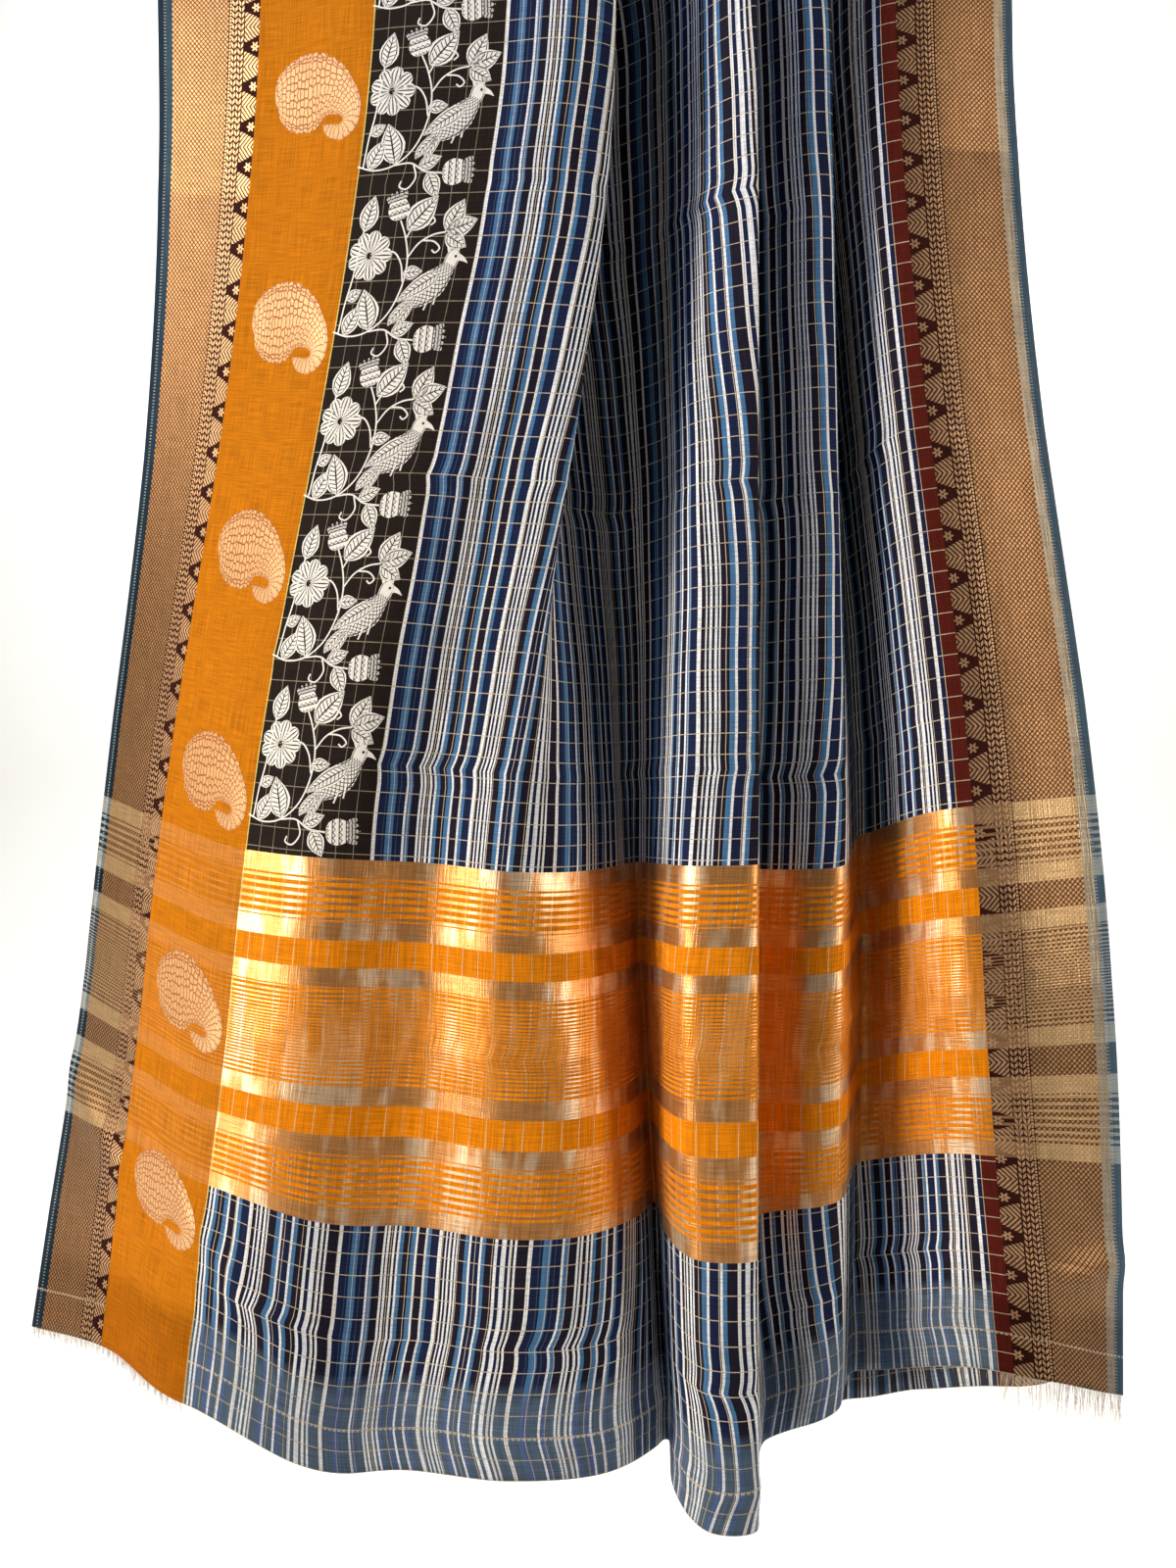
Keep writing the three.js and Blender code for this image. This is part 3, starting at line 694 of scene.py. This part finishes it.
foot_rows = (0.0, 0.4, 1.5, 3.0, 5.0, 12.0, 24.0, 40.0, 56.0, 75.0)
back_rows = rows_up(foot_rows, 15, RAIL_LEVEL - BACK_FOOT, 12)
body_cloth = woven("striped_cotton", False, 0.0)
for name, layer, node_name, slot in (
    ("back_outer", 1.0, "back_outer_fall", "body_cloth"),
    ("back_inner", -1.0, "back_inner_fall", "inner_cloth"),
):
    stretch = hanging("back", back_rows, back_out(layer), back_lift)
    stretch = over_rail("back", layer, *stretch)
    piece = cloth(name, stretch, layer, body_cloth)
    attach(piece, "root")
    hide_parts(node_name)
    if name == "back_outer":
        back_cloth = stretch

# Paisleys on the orange strip.
# Gold paisleys woven along the orange strip, packed with small leaf-like cells, with scalloped
# edges and a tail that hooks back. They lie on the cloth, a thread's height proud.
PROUD = 0.32  # of the cloth's middle, so just above the face of its shell
PAISLEY_STEP = 175.5
PAISLEY_ACROSS = 163.0  # of their middles
LOWEST_PAISLEYS = (149.0, 96.0)  # heights on the decorated end and on the back
SCALLOP = 0.07  # height of the humps along an edge, as a share of half the width
THINNEST = 0.05  # half the width of a drawn line at its thinnest
# Along the paisley's spine from the round end to the hook: across and up from its middle, and
# half its width.
PAISLEY = (
    (-45, 1, 0.5), (-41, 2, 15), (-32, 3, 24), (-20, 3.5, 28.5), (-8, 4, 30), (4, 5, 27.5),
    (16, 3.5, 21), (26, -1.5, 15.5), (34.5, -8.5, 11.5), (38.5, -17, 8.5), (37, -24.5, 7),
    (31, -29, 6.2), (23.5, -29, 5.4), (16.5, -26.5, 4), (10.5, -23, 0.6),
)


def blade(knots, steps, wide, scallops=0):
    """A flat shape about a curved spine: points, faces and UVs. Each knot is a point and half the
    width there. U is the length along the spine and V runs from -1 to 1 across it. scallops is
    the number of small humps along each edge."""
    knots = np.asarray(knots, float)
    place = np.linspace(0.0, len(knots) - 1.0, steps)
    line = spline(knots[None], place)
    run = np.gradient(line[:, :2], axis=0)
    left = np.stack((-run[:, 1], run[:, 0]), axis=1) / np.linalg.norm(run, axis=1, keepdims=True)
    scallop = SCALLOP * np.abs(np.sin(np.linspace(0.0, np.pi * scallops, steps)))
    half = np.maximum(line[:, 2], THINNEST)
    half = half + half * scallop
    side = np.linspace(-1.0, 1.0, wide)
    points = line[:, None, :2] + left[:, None] * (half[:, None] * side)[..., None]
    length = np.concatenate(((0.0,), np.cumsum(np.linalg.norm(np.diff(line[:, :2], axis=0), axis=1))))
    uv = np.dstack(np.broadcast_arrays(length[:, None], side[None]))
    faces = grid_faces(steps, wide, -1.0)[:, (0, 3, 2, 1)]
    return points.reshape(-1, 2), faces, uv.reshape(-1, 2)


def joined(shapes):
    """Several flat shapes as one: their points, faces and UVs, the faces renumbered."""
    points, faces, uv = zip(*shapes)
    firsts = np.cumsum([0] + [len(part) for part in points])
    faces = [part + first for part, first in zip(faces, firsts)]
    return np.concatenate(points), np.concatenate(faces), np.concatenate(uv)


def laid_on(stretch, flat, proud):
    """Points of a flat drawing, in mm across and up, on the cloth's own mesh and proud of it:
    each lies between two rows of the mesh, at its distance across in both."""
    points, across, up = stretch
    raised = points + normals_of(points) * proud
    rows = up[:, 0]
    row = np.clip(np.searchsorted(rows, flat[:, 1]) - 1, 0, len(rows) - 2)
    share = (flat[:, 1] - rows[row]) / (rows[row + 1] - rows[row])
    placed = np.empty((len(flat), 3))
    for r in np.unique(row):
        here = row == r
        low, high = (
            np.stack([np.interp(flat[here, 0], across[k], axis) for axis in raised[k].T], axis=1)
            for k in (r, r + 1)
        )
        placed[here] = low + (high - low) * share[here, None]
    return placed


def repeated(shape, places):
    """Copies of a flat shape moved to each (across, up)."""
    points, faces, uv = shape
    return joined([(points + np.asarray(place), faces, uv) for place in places])


def below_ridge(shape, stretch):
    """A flat shape without its faces past the ridge and the points that only they use."""
    points, faces, uv = shape
    faces = faces[(points[faces][..., 1] < stretch[2].max()).all(axis=1)]
    used, faces = np.unique(faces, return_inverse=True)
    return points[used], faces.reshape(-1, 4), uv[used]


def on_both_sides(name, shape, front_places, back_places, material, proud=PROUD):
    """One object of a flat shape repeated on the decorated end and on the outer back stretch,
    where the cloth's outer face is the other one, so those faces turn over."""
    parts = []
    for places, stretch, way in ((front_places, front_cloth, 1), (back_places, back_cloth, -1)):
        points, faces, uv = below_ridge(repeated(shape, places), stretch)
        parts.append((laid_on(stretch, points, way * proud), faces[:, ::way], uv))
    item = link_mesh(name, material, *joined(parts))
    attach(item, "root")


def thread_print(name, ground, mark, marks_at, metallic=0.0, roughness=0.75):
    """A material of one colour with darker marks where marks_at, a function of the piece's U
    and V, gives 1."""
    material, tree = empty_material(name)
    _, along, side = uv_parts(tree)
    marks = marks_at(along, side)
    fibres = grain(tree, 900.0, 2.0)
    value = calc("MULTIPLY_ADD", fibres, 0.5, 0.75)
    base = node(tree, "HueSaturation", {"Value": value, "Color": blend(marks, ground, mark)})
    bump = node(tree, "Bump", {"Strength": 0.4, "Distance": 0.0004, "Height": minus(fibres, marks)})
    skin = node(tree, "BsdfPrincipled", {
        "Base Color": base.outputs[0], "Metallic": times(minus(1.0, marks), metallic),
        "Roughness": roughness, "Normal": bump.outputs[0],
    })
    node(tree, "OutputMaterial", {"Surface": skin.outputs[0]})
    return material


def leaf_cells(along, side):
    """The paisley's filling: small leaves set in slanting rows either side of its spine."""
    half_width = 28.0
    tree = tree_of(along)
    off = times(calc("ABSOLUTE", side), half_width)
    where = node(tree, "CombineXYZ", {0: times(along, 0.24), 1: times(off, 0.17)})
    cells = node(tree, "TexVoronoi", {"Vector": where.outputs[0], "Scale": 1.0, "Randomness": 0.55},
                 feature="DISTANCE_TO_EDGE", voronoi_dimensions="2D").outputs["Distance"]
    veins = lines(calc("ADD", along, times(off, 0.5)), 1.5, 0.4)
    rim = within(calc("ABSOLUTE", side), 0.86, 0.9)
    return most(below(cells, 0.11), rim, times(veins, 0.45))


paisley_thread = thread_print("gold_paisley_thread", "e4b983", "a3560c", leaf_cells, 0.5, 0.42)
paisley_places = [
    [(PAISLEY_ACROSS, lowest + PAISLEY_STEP * k) for k in range(8)] for lowest in LOWEST_PAISLEYS
]
on_both_sides("gold_paisleys", blade(PAISLEY, 76, 11, 26), *paisley_places, paisley_thread)

# Vine print on the black strip.
# A resist-printed vine in off-white with petalled flowers, leaves, hatched buds, curls and a
# bird, drawn freely.
VINE_STEP = 122.0
STEM_HALF = 0.62
# Points of the stems and curls, across from the strip's left edge and up from the repeat's foot.
STEMS = (
    ((-1, 9), (14, 5), (30, 8), (44, 20), (52, 40), (53, 60), (48, 78), (42, 90)),
    ((30, 8), (44, 9), (55, 3), (70, 1)),
    ((53, 62), (60, 72), (70, 78), (80, 80)),
    ((52, 44), (48, 58), (41, 66), (33, 66)),
    ((62, 74), (72, 73), (77, 68), (74, 65), (71, 67)),
    ((46, 8), (49, -2), (43, -10), (37, -8), (38, -4)),
    ((49, 76), (56, 88), (66, 92), (70, 88), (67, 85)),
    ((4, 8), (6, 30), (9, 46), (13, 84)),
    ((76, 32), (73, 23)), ((81, 36), (80, 27)),
)
# Leaves: base, direction in degrees, length and half width.
LEAVES = (
    (31, 9, 108, 32, 10.4), (49, 82, 50, 32, 10.4), (80, 80, 66, 26, 8.2), (81, 80, 22, 24, 8.0),
    (80, 78, -28, 20, 7.0), (50, 6, 24, 19, 5.6), (58, 2, -62, 22, 6.8), (13, 82, 78, 27, 8.2),
    (9, 6, 64, 24, 7.4), (7, 32, 30, 14, 4.8), (51, 50, 6, 16, 5.2),
)
LEAF_PROFILE = ((0.0, 0.06), (0.16, 0.66), (0.42, 1.0), (0.7, 0.7), (0.88, 0.3), (1.0, 0.02))
PETAL_PROFILE = ((0.0, 0.3), (0.3, 0.75), (0.66, 1.0), (0.88, 0.8), (1.0, 0.2))
FLOWER_MIDDLE = (21.0, 64.0)
FLOWER_HEART = 2.5  # how far from its middle the petals start
DOT_PROFILE = ((0, 0.2), (0.3, 1), (0.7, 1), (1, 0.2))
# Buds: base, direction, size.
BUDS = ((42, 89, 106, 0.86), (69, 1, 5, 1.0))
BUD_PROFILE = ((0, 1.0), (2, 6.4), (6.5, 9.6), (11.5, 9.8), (15.5, 8.2), (17.5, 7.2))
CROWN_FOOT = 17.4  # how far from the bud's base its crown of points starts
CROWN_STEP = 3.4  # and how far the points are apart
# The bird as spines: body from rump to crown, wing, tail feathers, then beak and crest.
BIRD_BODY = (
    (58, 27, 3), (63, 31, 7.4), (70, 36.5, 10.6), (77.5, 43, 10.8), (83.5, 50, 7.4), (86.8, 55.5, 5.2),
    (88.6, 60.5, 5.6), (89.6, 64.5, 4.6), (90, 67.5, 0.6),
)
WING_AND_TAIL = (
    ((82, 50, 0.6), (76, 47, 5.2), (68, 42, 6.4), (59, 36, 4.4), (50, 29.5, 0.5)),
    ((60, 29, 2.8), (54, 23, 3.8), (49, 16.5, 3.2), (46.5, 12, 0.4)),
    ((62.5, 27.5, 2.6), (58.5, 20.5, 3.4), (55.5, 14.5, 2.6), (54.5, 10.5, 0.3)),
)
BEAK_AND_CREST = (
    ((92.5, 61.5, 2.8), (97, 60, 1.6), (101, 57, 0.2)),
    ((86, 65, 1.5), (82.5, 71, 0.2)),
    ((88.5, 67, 1.6), (87.5, 74.5, 0.2)),
    ((91.5, 66, 1.5), (93.5, 72.5, 0.2)),
)
BIRD_EYE = (90.0, 62.0)


def turned(profile, base_across, base_up, angle, length=1.0, half=1.0):
    """Knots of a straight spine from a base in a direction, from a profile of place and width."""
    across, up = length * np.cos(np.radians(angle)), length * np.sin(np.radians(angle))
    return [(base_across + place * across, base_up + place * up, width * half)
            for place, width in profile]


def leaf_marks(along, side):
    """A midrib, slanting side veins and a line inside the leaf's edge."""
    off = calc("ABSOLUTE", side)
    slanted = calc("MULTIPLY_ADD", off, -4.5, along)
    veins = times(lines(slanted, 3.4, 0.8, -40.0), below(off, 0.62))
    return most(veins, within(off, 0.68, 0.8), below(off, 0.07))


def petal_marks(along, side):
    """A line inside the petal's edge and one along its middle."""
    off = calc("ABSOLUTE", side)
    return most(within(off, 0.5, 0.68), below(off, 0.1))


def band_marks(along, side):
    """Bands across the body with a zigzag between each two."""
    spacing = 5.2
    zigzag = times(calc("PINGPONG", calc("ADD", side, 2.0), 0.22), 9.0)
    row = calc("MODULO", calc("ADD", along, zigzag), spacing)
    return most(lines(along, spacing, 0.8), within(row, 2.4, 3.2))


def scale_marks(along, side):
    """Crossing lines for the bird's scaly breast, up to its neck, and a line inside its edge."""
    across = times(side, 9.0)
    crossing = most(*(lines(calc(way, along, across), 3.6, 0.75, -20.0) for way in ("ADD", "SUBTRACT")))
    scales = times(crossing, below(along, 42.0))
    return most(scales, within(calc("ABSOLUTE", side), 0.8, 0.9))


def lattice_marks(along, side):
    """A small square lattice."""
    rails = lines(calc("ADD", side, 1.0), 0.5, 0.16)
    return most(lines(along, 2.5, 0.85), rails)


def no_marks(along, side):
    """Nothing drawn inside the line."""
    return times(along, 0.0)


stems = [blade([(*point, STEM_HALF) for point in points], 6 * len(points), 2) for points in STEMS]
stems += [blade(spike, 8, 3) for spike in BEAK_AND_CREST]
leaves = [blade(turned(LEAF_PROFILE, *leaf), 11, 5) for leaf in LEAVES]
petals = []
for angle in range(0, 360, 40):
    turn = np.radians(angle)
    start = np.add(FLOWER_MIDDLE, (FLOWER_HEART * np.cos(turn), FLOWER_HEART * np.sin(turn)))
    petals.append(blade(turned(PETAL_PROFILE, *start, angle, 16.0, 5.4), 10, 5))
petals.append(blade(turned(DOT_PROFILE, *FLOWER_MIDDLE, 0, 3.0, 1.6), 7, 3))
bird = [blade(BIRD_BODY, 26, 9)]
wings = [blade(feather, 16, 5) for feather in WING_AND_TAIL]
dots = [blade(turned(DOT_PROFILE, *place, 0, 2.0), 7, 3) for place in (FLOWER_MIDDLE, BIRD_EYE)]
bulbs = []
crowns = []
for across, up, angle, size in BUDS:
    bulbs.append(blade(turned(BUD_PROFILE, across, up, angle, size, size), 9, 7))
    cosine, sine = size * np.cos(np.radians(angle)), size * np.sin(np.radians(angle))
    for k in (-2, -1, 0, 1, 2):
        foot = (across + CROWN_FOOT * cosine - CROWN_STEP * k * sine,
                up + CROWN_FOOT * sine + CROWN_STEP * k * cosine)
        spike = ((0, 1.75), (4, 1.9), (6.5, 1.3), (9 - 0.5 * k * k, 0.1))
        crowns.append(blade(turned(spike, *foot, angle + 9 * k, size, size), 6, 3))

PRINT_WHITE = "f0ece3"
INK_GROUND = "221b17"
LAYER = 0.08  # how much higher each further layer of the print lies
front_repeats = [(STRIP_END, BAND[1] + 18.0 + VINE_STEP * k) for k in range(8)]
back_repeats = [(STRIP_END, 16.0 + VINE_STEP * k) for k in range(12)]
for name, shapes, marks, layer in (
    ("vine_stems", stems, no_marks, 0),
    ("vine_leaves", leaves, leaf_marks, 0),
    ("vine_petals", petals, petal_marks, 0),
    ("vine_buds", bulbs, band_marks, 0),
    ("vine_bud_crowns", crowns, lattice_marks, 0),
    ("bird_bodies", bird, scale_marks, 0),
    ("bird_wings_and_tails", wings, leaf_marks, 1),
    ("vine_dots", dots, no_marks, 2),
):
    ground = FLORAL if name == "vine_dots" else PRINT_WHITE
    print_material = thread_print(name + "_resist_print", ground, INK_GROUND, marks)
    proud = PROUD + LAYER * layer
    on_both_sides(name, joined(shapes), front_repeats, back_repeats, print_material, proud)

# Frayed warp ends.
# The warp's cut ends below the hem: a short thick fringe under the left border and the orange
# strip, a longer one under the right border, and loose threads along the striped hem.
FRAY_RINGS = 6
FRAY_ROOT = 0.6  # how far up in the cloth a thread starts
FRAY_TIP = 0.45  # thickness of its tip as a share of its root's
# Each: name, the solid that it stands for, across from and to, number of threads, length, spread
# of the length as a share, lean along the hem, thickness, and the seed of its random numbers.
FRAYS = (
    ("fringe_left", "fringe_left_border", 1.0, 214.0, 330, 8.0, 0.35, 1.6, 0.34, 11),
    ("fringe_right", "fringe_right_border", 1042.0, 1149.0, 210, 21.0, 0.3, 4.0, 0.34, 12),
    ("loose_threads", None, 216.0, 1040.0, 110, 7.0, 0.6, 4.0, 0.22, 13),
)


def frayed(places, lengths, leans, bends, thickness):
    """Thin three-sided threads that hang from the hem: each leans along the hem in proportion to
    its length down and bends outwards with the square of it."""
    root, beside = (
        laid_on(front_cloth, np.stack((at, 0.0 * at), axis=1), 0.0) for at in (places, places + 1.0)
    )
    along = beside - root
    along /= np.linalg.norm(along, axis=1, keepdims=True)
    down = np.linspace(0.0, 1.0, FRAY_RINGS)[None, :, None]
    line = root[:, None] + np.array((0.0, 0.0, 1.0)) * (FRAY_ROOT - down * lengths[:, None, None])
    line = line + along[:, None] * leans[:, None, None] * down
    line = line + np.array((0.0, -1.0, 0.0)) * bends[:, None, None] * down ** 2
    angle = np.arange(3) * 2 * np.pi / 3
    ring = np.stack((np.cos(angle), np.sin(angle), np.zeros(3)), axis=1) * thickness / 2
    taper = np.linspace(1.0, FRAY_TIP, FRAY_RINGS)[None, :, None, None]
    points = line[:, :, None] + ring * taper
    here = np.arange(points[..., 0].size).reshape(points.shape[:3])
    there = np.roll(here, -1, axis=2)
    faces = np.stack((here[:, :-1], here[:, 1:], there[:, 1:], there[:, :-1]), axis=-1)
    return points.reshape(-1, 3), faces.reshape(-1, 4)


def mottled(name, scale, detail, one, other, roughness):
    """A dull material of two colours mixed by soft noise."""
    material, tree = empty_material(name)
    tone = blend(grain(tree, scale, detail), one, other)
    skin = node(tree, "BsdfPrincipled", {"Base Color": tone, "Roughness": roughness})
    node(tree, "OutputMaterial", {"Surface": skin.outputs[0]})
    return material


fray_thread = mottled("frayed_cotton_thread", 220.0, 1.0, "b99c7a", "ecdcc4", 0.8)
for name, stands_for, start, end, count, length, spread, lean, thickness, seed in FRAYS:
    chance = np.random.default_rng(seed)
    places = np.linspace(start, end, count) + chance.uniform(-0.5, 0.5, count)
    lengths = length * (1.0 + spread * chance.uniform(-1.0, 1.0, count))
    clumps = np.sin(places * 0.31) + np.sin(places * 0.83 + 1.0)
    leans = lean * (0.5 * clumps + chance.uniform(-0.5, 0.5, count))
    bends = chance.uniform(-0.25, 0.35, count) * lengths
    points, faces = frayed(np.clip(places, 0.3, CLOTH_WIDTH - 1.4), lengths, leans, bends, thickness)
    fray = link_mesh(name, fray_thread, points, faces)
    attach(fray, "root")
    if stands_for:
        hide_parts(stands_for)

# Light, floor and backdrop.
# A plain pale sweep of floor and wall and soft studio light: the key light from the right, a side light
# from the left, a cool top light from the upper left and a light on the wall behind.
FLOOR_LEVEL = -1.62
SWEEP_FRONT, SWEEP_BACK, SWEEP_TOP = -3.5, 2.2, 3.0
SWEEP_HALF_WIDTH = 4.0
SWEEP_RADIUS = 0.8

arc = np.linspace(0.0, np.pi / 2, 17)
profile = np.concatenate((
    [(SWEEP_FRONT, FLOOR_LEVEL)],
    np.stack((SWEEP_BACK - SWEEP_RADIUS + SWEEP_RADIUS * np.sin(arc),
              FLOOR_LEVEL + SWEEP_RADIUS * (1 - np.cos(arc))), axis=1),
    [(SWEEP_BACK, SWEEP_TOP)],
))
sides = [np.insert(profile, 0, x, axis=1) for x in (-SWEEP_HALF_WIDTH, SWEEP_HALF_WIDTH)]
paper = mottled("pale_studio_paper", 3.0, 2.0, "f4f3f0", "efeeeb", 0.9)
sweep_faces = grid_faces(2, len(profile), 1.0)
sweep = link_mesh("studio_sweep", paper, np.concatenate(sides) * 1000.0, sweep_faces)

# Each soft box: name, place, aim, width, height, power in watts, spread in degrees and colour.
LIGHTS = (
    ("key_light", (1.9, -0.85, -0.3), (0.0, 0.0, -0.8), 0.4, 2.2, 6.5, 75, "fff6ea"),
    ("side_light", (-1.9, -0.95, -0.5), (0.0, 0.0, -0.85), 0.5, 2.2, 13.0, 75, "fff3e2"),
    ("top_light", (-1.0, -0.9, 1.0), (0.0, 0.0, -0.6), 0.8, 0.6, 3.2, 80, "bcd2ff"),
    ("back_light", (0.0, 0.9, 1.1), (0.0, 2.2, -0.9), 1.8, 1.8, 110.0, 180, "ffffff"),
)
for name, place, aim, width, height, power, spread, tint in LIGHTS:
    light = bpy.data.lights.new(name, "AREA")
    light.shape = "RECTANGLE"
    light.size = width
    light.size_y = height
    light.energy = power
    light.spread = np.radians(spread)
    light.color = colour(tint)[:3]
    lamp = bpy.data.objects.new(name, light)
    lamp.location = place
    x, y, z = np.subtract(aim, place)
    lamp.rotation_euler = (np.arctan2(np.hypot(x, y), -z), 0.0, np.arctan2(y, x) - np.pi / 2)
    bpy.context.scene.collection.objects.link(lamp)

world = bpy.data.worlds.new("pale_room")
world.use_nodes = True
world.node_tree.nodes.clear()
glow = node(world.node_tree, "Background", {"Color": "f3e4cf", "Strength": 0.05})
node(world.node_tree, "OutputWorld", {"Surface": glow.outputs[0]})
bpy.context.scene.world = world
bpy.context.scene.view_settings.view_transform = "Standard"
